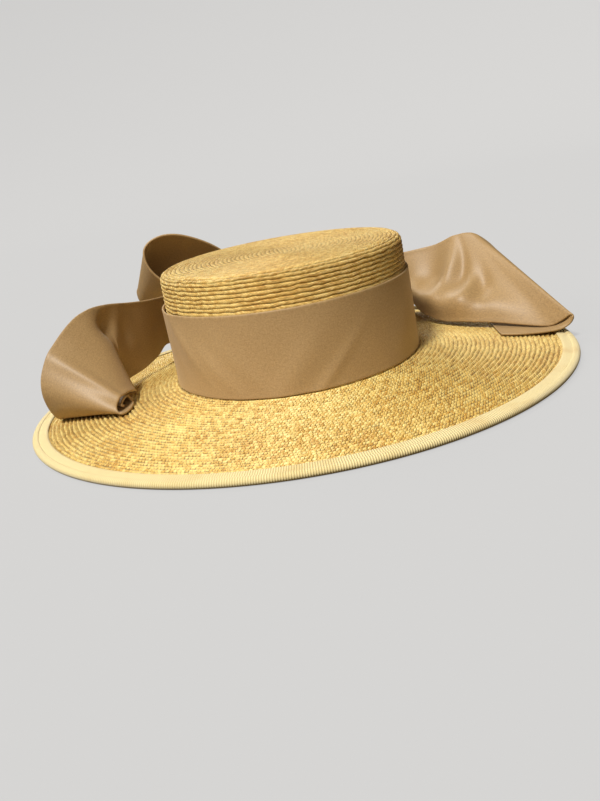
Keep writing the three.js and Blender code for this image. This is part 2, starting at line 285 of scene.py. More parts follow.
def noise(tree, vector, scale, detail=2.0, roughness=0.5):
    """One Noise Texture on a vector."""
    node = tree.nodes.new("ShaderNodeTexNoise")
    wire(tree, node.inputs["Vector"], vector)
    wire(tree, node.inputs["Scale"], scale)
    wire(tree, node.inputs["Detail"], detail)
    wire(tree, node.inputs["Roughness"], roughness)
    return node.outputs["Fac"]


def new_group(name, inputs, outputs):
    """Empty shader group with named sockets. Each input is (name, kind, start value)."""
    tree = bpy.data.node_groups.new(name, "ShaderNodeTree")
    for label, kind, start in inputs:
        socket = tree.interface.new_socket(label, in_out="INPUT", socket_type=kind)
        if start is not None:
            socket.default_value = start
    for label, kind in outputs:
        tree.interface.new_socket(label, in_out="OUTPUT", socket_type=kind)
    return tree, tree.nodes.new("NodeGroupInput").outputs, tree.nodes.new("NodeGroupOutput").inputs


def place_group(tree, group, **values):
    """One group node in a material, with its inputs set by name (spaces written as _)."""
    node = tree.nodes.new("ShaderNodeGroup")
    node.node_tree = group
    for label, value in values.items():
        wire(tree, node.inputs[label.replace("_", " ")], value)
    return node.outputs


def new_material(name):
    """Material with a Principled BSDF. Gives the material, its tree and the shader."""
    material = bpy.data.materials.new(name)
    material.use_nodes = True
    tree = material.node_tree
    return material, tree, tree.nodes["Principled BSDF"]


def bump(tree, height, distance, strength=1.0, normal=None):
    """Bump node. distance is the relief in metres."""
    node = tree.nodes.new("ShaderNodeBump")
    node.inputs["Strength"].default_value = strength
    node.inputs["Distance"].default_value = distance
    wire(tree, node.inputs["Height"], height)
    if normal is not None:
        wire(tree, node.inputs["Normal"], normal)
    return node.outputs["Normal"]


def uv_parts(tree):
    """The piece's own UV map, as a vector and as its two numbers."""
    node = tree.nodes.new("ShaderNodeUVMap")
    node.uv_map = "UVMap"
    split = tree.nodes.new("ShaderNodeSeparateXYZ")
    tree.links.new(node.outputs["UV"], split.inputs["Vector"])
    return node.outputs["UV"], split.outputs["X"], split.outputs["Y"]


def join_vector(tree, x, y, z=0.0):
    """Combine XYZ."""
    node = tree.nodes.new("ShaderNodeCombineXYZ")
    for socket, value in zip(node.inputs, (x, y, z)):
        wire(tree, socket, value)
    return node.outputs[0]


# %% [markdown]
# ## The plait of the straw
#
# Hat braid is a narrow plait of split straws. Each straw crosses the braid on a slant, so both halves
# of a row show a line of slanting lobes, shifted by half a lobe. The group reads the braid's own
# coordinates: `Along` counts lobes and `Row` counts rows. It gives the height of a lobe, a different
# tone for every straw, and a mask for painted shade in the gaps between lobes and rows. Both straw
# materials use it.

# %% Plait group
plait, given, out = new_group(
    "straw plait",
    [
        ("Along", "NodeSocketFloat", 0.0),
        ("Row", "NodeSocketFloat", 0.0),
        ("Slant", "NodeSocketFloat", 0.6),
    ],
    [("Height", "NodeSocketFloat"), ("Tone", "NodeSocketFloat"), ("Gap Shade", "NodeSocketFloat")],
)
across = formula(plait, "MULTIPLY_ADD", formula(plait, "FRACT", given["Row"]), 2.0, -1.0)
row_number = formula(plait, "FLOOR", given["Row"])
outer_half = formula(plait, "GREATER_THAN", across, 0.0)
off_centre = formula(plait, "ABSOLUTE", across)
row_start = formula(plait, "MULTIPLY", row_number, 0.618)
uneven = noise(plait, join_vector(plait, given["Along"], row_number), 0.7, 1.0)
along = formula(plait, "ADD", given["Along"], formula(plait, "MULTIPLY_ADD", uneven, 0.9, row_start))
slanted = formula(plait, "MULTIPLY_ADD", off_centre, given["Slant"], along)
phase = formula(plait, "MULTIPLY_ADD", outer_half, 0.5, slanted)
lobe = formula(plait, "MULTIPLY_ADD", formula(plait, "FRACT", phase), 2.0, -1.0)
lobe_round = formula(plait, "SUBTRACT", 1.0, formula(plait, "MULTIPLY", lobe, lobe))
across_round = formula(plait, "SUBTRACT", 1.0, formula(plait, "POWER", off_centre, 3.0))
swell = formula(plait, "MULTIPLY", formula(plait, "SQRT", lobe_round), across_round)
straw_noise = plait.nodes.new("ShaderNodeTexWhiteNoise")
straw_number = join_vector(plait, formula(plait, "FLOOR", phase), row_number, outer_half)
plait.links.new(straw_number, straw_noise.inputs["Vector"])
straw_split = plait.nodes.new("ShaderNodeSeparateColor")
plait.links.new(straw_noise.outputs["Color"], straw_split.inputs["Color"])
fibre = noise(plait, join_vector(plait, phase, formula(plait, "MULTIPLY", across, 3.0)), 3.0, 3.0)
tall = formula(plait, "MULTIPLY_ADD", straw_split.outputs["Red"], 0.8, 0.35)
raised = formula(plait, "MULTIPLY", swell, tall)
wire(plait, out["Height"], formula(plait, "MULTIPLY_ADD", fibre, 0.25, raised))
streak = formula(plait, "MULTIPLY_ADD", fibre, 2.8, -1.12)
spread = formula(plait, "MULTIPLY_ADD", straw_split.outputs["Green"], 0.5, streak)
wire(plait, out["Tone"], formula(plait, "MULTIPLY", spread, 0.9, clamp=True))
# Painted shade: these masks darken the colour where lobes meet and between rows, in place of the shade in
# those hollows.
lobe_gap = steps_between(plait, lobe_round, 0.55, 0.0)
row_gap = steps_between(plait, off_centre, 0.68, 1.0)
rare = formula(plait, "POWER", straw_split.outputs["Blue"], 2.0)
gap_shade_weight = formula(plait, "MULTIPLY_ADD", rare, 1.1, 0.25)
corner = formula(plait, "MULTIPLY", lobe_gap, row_gap)
straw_edge = formula(plait, "MULTIPLY", lobe_gap, 0.75)
gap = formula(plait, "MULTIPLY", formula(plait, "MULTIPLY_ADD", corner, 1.2, straw_edge), gap_shade_weight)
broken = formula(plait, "MULTIPLY", row_gap, formula(plait, "MULTIPLY_ADD", gap_shade_weight, 0.55, 0.06))
wire(plait, out["Gap Shade"], formula(plait, "ADD", broken, gap, clamp=True))

# %% [markdown]
# ## Straw finishes
#
# Old straw is golden, with paler and redder straws side by side, and painted brown shade in the
# gaps where the braid turns under. It has a hard natural gloss, so the roughness is low and follows
# the fibres. The crown and the brim differ in how strongly the plait stands up, so each has a
# material of its own, and the crown's copy is painted a little lighter, painted light standing in for
# the front light on the crown.

# %% Straw materials


def straw_material(name, relief, slant, gap_shade_strength, tint):
    """Golden braid: relief is the height of the lobes in metres."""
    material, tree, shader = new_material(name)
    vector, along, row = uv_parts(tree)
    braid = place_group(tree, plait, Along=along, Row=row, Slant=slant)
    place = tree.nodes.new("ShaderNodeTexCoord").outputs["Object"]
    patches = noise(tree, place, 28.0, 3.0, 0.6)
    straw_tone = formula(tree, "SUBTRACT", braid["Tone"], 0.28)
    tone = formula(tree, "MULTIPLY_ADD", patches, 0.6, straw_tone, clamp=True)
    ramp = tree.nodes.new("ShaderNodeValToRGB")
    wire(tree, ramp.inputs["Fac"], tone)
    ramp.color_ramp.elements[0].position = 0.08
    ramp.color_ramp.elements[0].color = (0.44 * tint[0], 0.19 * tint[1], 0.022 * tint[2], 1)
    ramp.color_ramp.elements[1].position = 0.74
    ramp.color_ramp.elements[1].color = (1.0 * tint[0], 0.81 * tint[1], 0.31 * tint[2], 1)
    middle = ramp.color_ramp.elements.new(0.42)
    middle.color = (0.84 * tint[0], 0.55 * tint[1], 0.115 * tint[2], 1)
    # Painted shade: the gap mask mixes the colour towards dark brown in the braid's hollows.
    shadow = formula(tree, "MULTIPLY", braid["Gap Shade"], gap_shade_strength)
    colour = blend_colours(tree, shadow, ramp.outputs["Color"], (0.10, 0.042, 0.003, 1))
    wire(tree, shader.inputs["Base Color"], colour)
    dull = formula(tree, "MULTIPLY_ADD", shadow, 0.4, 0.5)
    rough = formula(tree, "MULTIPLY_ADD", braid["Tone"], -0.22, dull)
    wire(tree, shader.inputs["Roughness"], rough)
    shader.inputs["Specular IOR Level"].default_value = 0.55
    shader.inputs["Sheen Weight"].default_value = 0.08
    wire(tree, shader.inputs["Normal"], bump(tree, braid["Height"], relief, 0.85))
    return material


brim_straw = straw_material("brim straw", 1.2 * MM, 0.7, 0.95, (1.0, 1.0, 1.0))
# The crown's tint paints its straw a little lighter than the brim's: painted light standing in for the front
# light on the crown.
crown_straw_painted_lighter = straw_material("crown straw painted lighter", 1.5 * MM, 1.1, 0.9, (1.06, 1.02, 1.02))
print("straw materials ready")

# %% [markdown]
# ## Rows of braid
#
# Each row of braid is a low ridge, and the sewing pulls the valleys between the rows down. The
# profile of the hat is therefore a smooth line with ridges on it. A hand-sewn hat is never quite
# even, so the valleys wander a little along their length, each with slow waves of its own.

# %% Ridges on a profile
rng = np.random.default_rng(11)


def wander(lines, turn, size, waves=(2, 23)):
    """One slow random wave for each valley: a sum of sines of whole numbers of waves round the hat."""
    numbers = np.arange(*waves)
    phases = rng.uniform(0, 2 * np.pi, (len(numbers), lines))
    weights = rng.normal(0, 1, (len(numbers), lines)) / np.sqrt(len(numbers))
    angles = numbers[:, None, None] * turn[None, :, None] + phases[:, None, :]
    return size * np.sum(weights[:, None, :] * np.sin(angles), axis=0)


def row_places(rows, per_row, turn, size, lean=0.5, waves=(2, 23)):
    """Place along the profile in rows, and ridge height from 0 to 1, for every bearing and column.

    The valleys are at whole rows plus their own wandering, of this size in rows, made of these numbers
    of waves round the hat. Between two valleys the ridge is sin(pi * share ** lean) ** 0.7, which
    leans outwards when lean is above 1.
    """
    valley = np.arange(rows + 1)[None, :] + wander(rows + 1, turn, size, waves)
    column = np.arange(rows * per_row + 1)
    row = np.minimum(column // per_row, rows - 1)
    share = (column - row * per_row) / per_row
    place = valley[:, row] * (1 - share) + valley[:, row + 1] * share
    ridge = np.clip(np.sin(np.pi * share**lean), 0, 1) ** 0.7
    return place, np.broadcast_to(ridge, place.shape), row, share


def row_uv(turn, row, share, lobes):
    """UV of each quad's corners: lobes counted along the row, and the number of the row."""
    ends = np.append(turn, 2 * np.pi) / (2 * np.pi)
    i = np.arange(len(turn))
    quad_row = row[:-1]
    low = share[:-1]
    high = np.where(share[1:] > low, share[1:], 1.0)
    u0 = ends[i][:, None] * lobes[quad_row][None, :]
    u1 = ends[i + 1][:, None] * lobes[quad_row][None, :]
    v0 = np.broadcast_to((quad_row + low)[None, :], u0.shape)
    v1 = np.broadcast_to((quad_row + high)[None, :], u0.shape)
    corners = [(u0, v0), (u0, v1), (u1, v1), (u1, v0)]
    return np.stack([np.stack(corner, axis=-1) for corner in corners], axis=2)


def lobe_counts(outs, lobe):
    """Whole number of lobes in each row, from the oval's girth at that row."""
    a = np.maximum(CROWN_HALF_WIDTH + outs, 1e-4)
    b = np.maximum(CROWN_HALF_LENGTH + outs, 1e-4)
    girth = np.pi * (3 * (a + b) - np.sqrt((3 * a + b) * (a + 3 * b)))
    return np.maximum(np.round(girth / lobe), 3)


def bearings(count):
    """Evenly spaced bearings round the hat."""
    return np.arange(count) * 2 * np.pi / count


# %% [markdown]
# ## Brim
#
# The brim is a flat ring of thirty-six rows. The upper face carries the full ridges. The
# underside shows the same rows, but flatter, because the braid is sewn from above. Both faces and
# the two edges make one closed ring, which is why a grid that closes both ways is enough.

# %% Brim
BRIM_ROWS = 36
BRIM_RIDGE = 1.2 * MM
BRIM_LOBE = 2.5 * MM
brim_turn = bearings(320)
brim_in = -STRAW
brim_out = BRIM_WIDTH - 1.0 * MM
brim_pitch = (brim_out - brim_in) / BRIM_ROWS

place, ridge, row, share = row_places(BRIM_ROWS, 6, brim_turn, 0.11, 2.2, (2, 60))
top_out = brim_in + brim_pitch * place
top_height = brim_top(top_out) + BRIM_RIDGE * (ridge - 1.0)
top_out[:, 0] = brim_in
top_out[:, -1] = brim_out
top_lobes = lobe_counts(brim_in + brim_pitch * (np.arange(BRIM_ROWS) + 0.5), BRIM_LOBE)
top_uv = row_uv(brim_turn, row, share, top_lobes)

place, ridge, row, share = row_places(BRIM_ROWS, 2, brim_turn, 0.05)
under_out = (brim_in + brim_pitch * place)[:, ::-1]
under_height = brim_top(under_out) - STRAW + 0.4 * MM * (1.0 - ridge[:, ::-1])
under_out[:, 0] = brim_out
under_out[:, -1] = brim_in
under_uv = row_uv(brim_turn, row, share, top_lobes)[:, ::-1][:, :, [1, 0, 3, 2]]

brim_points = oval(
    np.concatenate([top_out, under_out], axis=1),
    brim_turn[:, None],
    np.concatenate([top_height, under_height], axis=1),
)
edge_uv = np.zeros((len(brim_turn), 1, 4, 2))
brim_uv = np.concatenate([top_uv, edge_uv + 0.5, under_uv, edge_uv + 0.5], axis=1)
brim = grid_piece("straw_brim", brim_points, brim_uv, around=True, across=True)
finish_piece(brim, brim_straw, "straw_braid", "brim")

# %% [markdown]
# ## Crown
#
# The crown is sewn as one spiral from the button in the middle of the tip. Its rings shrink until
# the oval has no width left, so they end on a short line, as the first turn of the braid does on a
# real hat. The two halves of that last ring meet, and their points are welded.

# %% Crown
CROWN_LOBE = 1.9 * MM
SIDE_PITCH = 2.65 * MM
TIP_PITCH = 2.9 * MM
TIP_CALM_EDGE = 9 * MM
TIP_CALM = 0.22
crown_turn = bearings(256)


def crown_line(travel):
    """Profile from the middle of the tip: flat, quarter round, then a wall that tapers.

    travel is the length along the line. Gives out, height and the normal in the profile's plane.
    """
    flat = CROWN_HALF_WIDTH - CROWN_TAPER - TIP_ROUNDING
    bend = TIP_ROUNDING * np.pi / 2
    wall = CROWN_TOP - TIP_ROUNDING - FOOT_HEIGHT - FIT
    angle = np.clip((travel - flat) / TIP_ROUNDING, 0, np.pi / 2)
    down = np.clip(travel - flat - bend, 0, wall)
    out = (
        -CROWN_HALF_WIDTH
        + np.minimum(travel, flat)
        + TIP_ROUNDING * np.sin(angle)
        + CROWN_TAPER * down / wall
    )
    height = CROWN_TOP - TIP_ROUNDING * (1 - np.cos(angle)) - down
    return out, height, np.sin(angle), np.cos(angle), flat + bend + wall


def crown_face(per_row, inset, relief, size, sign):
    """Ridged face of the crown at a depth below the outer line. sign is +1 outside and -1 inside."""
    length = crown_line(np.array(0.0))[4]
    tip = CROWN_HALF_WIDTH - CROWN_TAPER
    tip_rows = int(round(tip / TIP_PITCH))
    side_rows = int(round((length - tip) / SIDE_PITCH))
    rows = tip_rows + side_rows
    place, ridge, row, share = row_places(rows, per_row, crown_turn, size, 1.4, (3, 60))
    calm = np.clip(place / 6, 0, 1)
    place = np.arange(place.shape[1])[None, :] / per_row * (1 - calm) + place * calm
    travel = np.where(
        place < tip_rows,
        place / tip_rows * tip,
        tip + (place - tip_rows) / side_rows * (length - tip),
    )
    travel = np.clip(travel, 0, length)
    travel[:, 0] = 0
    travel[:, -1] = length
    out, height, lean_out, lean_up, _ = crown_line(travel)
    strength = np.where(travel < tip - TIP_CALM_EDGE, TIP_CALM, 1.0)
    depth = inset - sign * relief * strength * (ridge - 1.0)
    out = np.where(travel > 0, out - depth * lean_out, -CROWN_HALF_WIDTH)
    height = height - depth * lean_up
    middle = crown_line((np.arange(rows) + 0.5) / rows * length)[0]
    lobes = lobe_counts(middle, CROWN_LOBE)
    return out, height, row_uv(crown_turn, row, share, lobes)


face_out, face_height, face_uv = crown_face(5, 0.0, 0.7 * MM, 0.11, 1)
back_out, back_height, back_uv = crown_face(2, STRAW, 0.3 * MM, 0.05, -1)
back_out[:, -1] = -STRAW
crown_points = oval(
    np.concatenate([face_out, back_out[:, ::-1]], axis=1),
    crown_turn[:, None],
    np.concatenate([face_height, back_height[:, ::-1]], axis=1),
)
edge_uv = np.full((len(crown_turn), 1, 4, 2), 0.5)
crown_uv = np.concatenate([face_uv, edge_uv, back_uv[:, ::-1][:, :, [1, 0, 3, 2]]], axis=1)
turns, columns = crown_points.shape[:2]
weld = np.arange(turns * columns).reshape(turns, columns)
numbers = np.arange(turns)
mirrored = (turns // 2 - numbers) % turns
left_half = (numbers > turns // 4) & (numbers < 3 * turns // 4)
for column in (0, columns - 1):
    weld[left_half, column] = weld[mirrored[left_half], column]
crown = grid_piece("straw_crown", crown_points, crown_uv, around=True, weld=weld.ravel())
finish_piece(crown, crown_straw_painted_lighter, "straw_braid", "crown")

# %% [markdown]
# ## Ribs of the edge binding
#
# The edge of the brim is bound with a ribbed ribbon: fine cords lie side by side across its width.
# It is folded over the edge, stitched down along a line, and the outermost part is filled by a wire,
# so it stands up as a roll. The ribs are counted round the hat in the UV map, and drawn as relief,
# with painted shade darkening the grooves between them.

# %% Binding
BINDING_LAP = 10.0 * MM
BINDING_ROLL = 4.4 * MM
RIB = 1.45 * MM
bind_turn = bearings(320)


def smooth_line(corners, count):
    """Closed Catmull-Rom line through the corner points, with count points between each two."""
    corners = np.asarray(corners, dtype=float)
    a, b = np.roll(corners, 1, axis=0), corners
    c, d = np.roll(corners, -1, axis=0), np.roll(corners, -2, axis=0)
    t = (np.arange(count) / count)[None, :, None]
    a, b, c, d = (x[:, None, :] for x in (a, b, c, d))
    line = b + 0.5 * t * (c - a + t * (2 * a - 5 * b + 4 * c - d + t * (3 * (b - c) + d - a)))
    return line.reshape(-1, 2)


lip = BRIM_WIDTH - BINDING_LAP
roll = BRIM_WIDTH - BINDING_ROLL
seat = brim_top(BRIM_WIDTH)
binding_line = smooth_line(
    [
        (lip, brim_top(lip) + 0.35 * MM),
        (lip - 0.25 * MM, brim_top(lip) + 0.75 * MM),
        (lip + 0.4 * MM, brim_top(lip) + 1.05 * MM),
        (lip + 2.8 * MM, brim_top(lip + 2.8 * MM) + 1.0 * MM),
        (roll - 0.5 * MM, brim_top(roll) + 0.75 * MM),
        (roll, brim_top(roll) + 0.6 * MM),
        (roll + 0.6 * MM, brim_top(roll) + 1.2 * MM),
        (roll + 1.9 * MM, seat + 1.75 * MM),
        (BRIM_WIDTH - 1.0 * MM, seat + 1.15 * MM),
        (BRIM_WIDTH - 0.1 * MM, seat + 0.0 * MM),
        (BRIM_WIDTH - 0.1 * MM, seat - 1.4 * MM),
        (BRIM_WIDTH - 1.2 * MM, seat - 2.7 * MM),
        (BRIM_WIDTH - 3.2 * MM, seat - 2.9 * MM),
        (BRIM_WIDTH - 5.4 * MM, seat - 2.9 * MM),
        (lip + 0.3 * MM, brim_top(lip) - 2.95 * MM),
        (lip, brim_top(lip) - 2.5 * MM),
        (lip + 1.0 * MM, brim_top(lip) - 2.2 * MM),
        (BRIM_WIDTH - 1.4 * MM, seat - 2.05 * MM),
        (BRIM_WIDTH - 0.9 * MM, seat - 1.0 * MM),
        (BRIM_WIDTH - 1.4 * MM, seat + 0.2 * MM),
    ],
    4,
)
binding_points = oval(binding_line[None, :, 0], bind_turn[:, None], binding_line[None, :, 1])
width_along = np.concatenate(
    [[0.0], np.cumsum(np.hypot(*np.diff(np.vstack([binding_line, binding_line[:1]]), axis=0).T))]
)
ribs = lobe_counts(np.array([BRIM_WIDTH]), RIB)[0]
binding_uv = np.stack(
    np.broadcast_arrays(
        (np.append(bind_turn, 2 * np.pi) / (2 * np.pi) * ribs)[:, None],
        width_along[None, :] / MM,
    ),
    axis=-1,
)
binding = grid_piece("brim_binding_ribbon", binding_points, binding_uv, around=True, across=True)

binding_cloth, tree, shader = new_material("ribbed binding")
vector, along, width = uv_parts(tree)
place = tree.nodes.new("ShaderNodeTexCoord").outputs["Object"]
rib_swing = formula(tree, "COSINE", formula(tree, "MULTIPLY", along, 2 * math.pi))
rib_wave = formula(tree, "MULTIPLY_ADD", rib_swing, 0.5, 0.5)
thread_along = formula(tree, "MULTIPLY", along, 0.7)
thread_across = formula(tree, "MULTIPLY", width, 0.4)
thread = noise(tree, join_vector(tree, thread_along, thread_across), 6.0, 3.0)
age = noise(tree, place, 30.0, 3.0, 0.6)
pale = blend_colours(tree, thread, (0.84, 0.68, 0.32, 1), (0.97, 0.86, 0.50, 1))
worn = blend_colours(tree, steps_between(tree, age, 0.45, 0.75), pale, (0.78, 0.58, 0.25, 1))
# Painted shade: the colour darkens in the grooves between the ribs, in place of their shade.
groove_shade = formula(tree, "MULTIPLY", formula(tree, "SUBTRACT", 1.0, rib_wave), 0.55)
wire(tree, shader.inputs["Base Color"], blend_colours(tree, groove_shade, worn, (0.46, 0.34, 0.09, 1)))
shader.inputs["Roughness"].default_value = 0.75
shader.inputs["Sheen Weight"].default_value = 0.25
height = formula(tree, "MULTIPLY_ADD", thread, 0.2, rib_wave)
wire(tree, shader.inputs["Normal"], bump(tree, height, 0.35 * MM, 1.0))
finish_piece(binding, binding_cloth, "ribbed_binding", "brim_binding")

# %% [markdown]
# ## Satin
#
# Satin threads float over several others, so the face is smooth and catches light in soft patches,
# while a very fine grain stays visible. The group gives the fine weave from a UV map in metres, and
# the material adds a wide, low gloss and a little sheen. The base colour stays nearly even: the
# large differences that the eye sees on satin come from the light. The bow's copy is painted a
# little darker than the band's, painted shade for the weaker light on the bow.

# %% Weave group and satin
weave, given, out = new_group(
    "satin weave",
    [("Vector", "NodeSocketVector", None), ("Threads", "NodeSocketFloat", 1.0)],
    [("Height", "NodeSocketFloat"), ("Grain", "NodeSocketFloat")],
)
stretched = weave.nodes.new("ShaderNodeVectorMath")
stretched.operation = "MULTIPLY"
wire(weave, stretched.inputs[0], given["Vector"])
stretched.inputs[1].default_value = (1100.0, 1300.0, 1.0)
fine = noise(weave, stretched.outputs[0], given["Threads"], 2.0, 0.6)
slubs = weave.nodes.new("ShaderNodeVectorMath")
slubs.operation = "MULTIPLY"
wire(weave, slubs.inputs[0], given["Vector"])
slubs.inputs[1].default_value = (500.0, 650.0, 1.0)
slub = noise(weave, slubs.outputs[0], given["Threads"], 2.0, 0.5)
wire(weave, out["Height"], formula(weave, "MULTIPLY_ADD", slub, 0.35, fine))
wire(weave, out["Grain"], formula(weave, "MULTIPLY_ADD", slub, 0.3, formula(weave, "MULTIPLY", fine, 0.7)))


def satin_material(name, dark, light, gloss):
    """Satin ribbon: two close colours mixed by the grain, and the roughness of its face."""
    material, tree, shader = new_material(name)
    vector, _, _ = uv_parts(tree)
    cloth = place_group(tree, weave, Vector=vector, Threads=1.0)
    place = tree.nodes.new("ShaderNodeTexCoord").outputs["Object"]
    cloud = noise(tree, place, 22.0, 3.0, 0.55)
    speckle = formula(tree, "MULTIPLY_ADD", cloth["Grain"], 2.2, -0.8)
    grain = formula(tree, "MULTIPLY_ADD", cloud, 0.4, speckle, clamp=True)
    wire(tree, shader.inputs["Base Color"], blend_colours(tree, grain, dark, light))
    wire(tree, shader.inputs["Roughness"], formula(tree, "MULTIPLY_ADD", cloth["Grain"], 0.1, gloss - 0.05))
    shader.inputs["Specular IOR Level"].default_value = 0.5
    shader.inputs["Sheen Weight"].default_value = 0.15
    shader.inputs["Sheen Roughness"].default_value = 0.45
    shader.inputs["Sheen Tint"].default_value = (0.95, 0.80, 0.60, 1)
    wire(tree, shader.inputs["Normal"], bump(tree, cloth["Height"], 0.05 * MM, 0.6))
    return material


band_satin = satin_material("band satin", (0.30, 0.19, 0.083, 1), (0.50, 0.34, 0.165, 1), 0.52)
# Painted shade: the bow's satin is the band's ribbon painted a little darker, for the weaker light on the
# bow.
shaded_bow_satin = satin_material("bow satin painted darker", (0.26, 0.165, 0.070, 1), (0.47, 0.31, 0.140, 1), 0.5)

# %% [markdown]
# ## Hat band
#
# The band is a straight ribbon drawn round an upright oval, so it lies snug, but the bow's pull makes
# a few soft slanting folds in it, and its upper edge stands off the straw on one side. Each fold is a
# smooth bell across a slanted line. The ribbon's two edges are folded over, so they are rounded.

# %% Band
# Bearing in degrees, share of the height, half width in degrees, slant in degrees over the height,
# and depth in millimetres.
BAND_FOLDS = np.array(
    [
        (214, 0.55, 6, -30, 1.5),
        (228, 0.35, 7, -34, 1.2),
        (245, 0.25, 6, -30, 0.7),
        (262, 0.20, 7, 26, 0.9),
        (318, 0.30, 10, 22, 0.6),
        (221, 0.45, 3, -26, -0.5),
        (205, 0.35, 4, -22, -0.5),
        (277, 0.12, 3.5, 34, 0.7),
    ]
)
BAND_FLARE = (198, 24, 1.4)
band_turn = bearings(360)


def band_stand_off(turn, share):
    """How far the band stands off: the flare of its upper edge plus the slanted folds, as bells."""
    degrees = np.degrees(turn)[:, None]
    share = share[None, :]
    flare = (degrees - BAND_FLARE[0] + 180) % 360 - 180
    off = BAND_FLARE[2] * np.clip(share - 0.2, 0, None) / 0.8 * np.exp(-((flare / BAND_FLARE[1]) ** 2))
    for middle, at, reach, slant, depth in BAND_FOLDS:
        away = (degrees - middle - slant * (share - at) + 180) % 360 - 180
        off = off + depth * np.exp(-(((share - at) / 0.45) ** 2)) * np.exp(-((away / reach) ** 2))
    return off * MM


def slab_section(count, half, bead):
    """Closed line round a ribbon's cross-section: share across, and offset along the normal.

    The faces are at plus and minus half, a little further where the edge is folded over, and the two
    ends are half circles.
    """
    flat = np.linspace(0, 1, count)
    swell = half * (1 + bead * (np.exp(-flat / 0.025) + np.exp(-(1 - flat) / 0.025)))
    bend = np.linspace(-0.5, 0.5, 6)[1:-1] * np.pi
    tip = half * (1 + bead)
    far = np.stack([1 + 0 * bend, tip * np.sin(-bend), tip * np.cos(bend)], axis=-1)
    near = np.stack([0 * bend, tip * np.sin(bend), -tip * np.cos(bend)], axis=-1)
    face = np.stack([flat, swell, 0 * flat], axis=-1)
    rear = np.stack([flat[::-1], -swell[::-1], 0 * flat], axis=-1)
    return np.concatenate([face, far, rear, near])


section = slab_section(44, RIBBON / 2, 0.25)
share = section[:, 0]
height = BAND_FOOT + share * BAND_HEIGHT + section[:, 2]
wall = -CROWN_TAPER * (height - FOOT_HEIGHT) / (CROWN_HEIGHT - TIP_ROUNDING)
face = wall + FIT + 0.1 * MM + RIBBON / 2 + section[:, 1]
band_out = face[None, :] + band_stand_off(band_turn, share)
band_points = oval(band_out, band_turn[:, None], np.broadcast_to(height, band_out.shape))
band_girth = 2 * np.pi * (CROWN_HALF_WIDTH + CROWN_HALF_LENGTH) / 2
band_uv = np.stack(
    np.broadcast_arrays(
        (np.append(band_turn, 2 * np.pi) / (2 * np.pi) * band_girth)[:, None],
        (np.append(share, share[0]) * BAND_HEIGHT)[None, :],
    ),
    axis=-1,
)
band = grid_piece("satin_band", band_points[:, ::-1], band_uv[:, ::-1], around=True, across=True)
finish_piece(band, band_satin, "satin_ribbon", "hat_band")

# %% [markdown]
# ## Ribbon loops
#
# A ribbon bends easily but hardly stretches, so it is close to a surface of straight lines that run
# from one edge to the other. Each table row below is one such line, in order along the ribbon. A
# smooth curve runs through the rows, and small folds are then pressed in along the normal. The last
# rows of the left side loop curl its end inward, inside the roll that lies on the brim.

# %% Loop tables
# upper edge: bearing in degrees, out as a share of the brim, up as a share of the ribbon's width;
# then the same for the lower edge.
LEFT_SIDE_ROWS = [
    (92.5, 0.13, 0.4, 92.5, 0.13, 0.111),
    (97.9, 0.138, 0.5, 97.9, 0.138, 0.12),
    (113.9, 0.189, 0.669, 114.2, 0.224, 0.112),
    (129.4, 0.253, 0.763, 129.7, 0.322, 0.164),
    (140.6, 0.276, 0.816, 140.6, 0.352, 0.251),
    (151.6, 0.286, 0.855, 149.8, 0.317, 0.179),
    (159.4, 0.345, 0.911, 158.4, 0.342, 0.12),
    (164.3, 0.384, 0.956, 166.6, 0.401, 0.107),
    (167.1, 0.419, 0.985, 172.8, 0.496, 0.088),
    (169.4, 0.448, 1.004, 177.6, 0.437, 0.056),
    (171.6, 0.48, 1.02, 180.9, 0.319, 0.043),
    (174.8, 0.53, 1.027, 186.1, 0.31, 0.097),
    (178.2, 0.604, 0.998, 190.2, 0.337, 0.143),
    (182, 0.692, 0.903, 192.9, 0.369, 0.163),
    (185.1, 0.786, 0.753, 195.4, 0.417, 0.16),
    (186.7, 0.85, 0.581, 197.4, 0.456, 0.12),
    (187, 0.87, 0.392, 198.9, 0.462, 0.065),
    (185.2, 0.855, 0.179, 199.3, 0.434, 0.028),
    (182.5, 0.82, 0.03, 197.9, 0.392, 0.021),
    (177.3, 0.784, 0.02, 195.4, 0.359, 0.02),
    (171.9, 0.755, 0.02, 192.6, 0.339, 0.02),
    (169.5, 0.735, 0.07, 190.6, 0.343, 0.05),
    (169.5, 0.725, 0.15, 191.0, 0.362, 0.105),
    (171.5, 0.74, 0.21, 194.0, 0.395, 0.115),
    (173.5, 0.76, 0.19, 196.0, 0.42, 0.085),
    (174.0, 0.77, 0.13, 195.4, 0.405, 0.06),
]
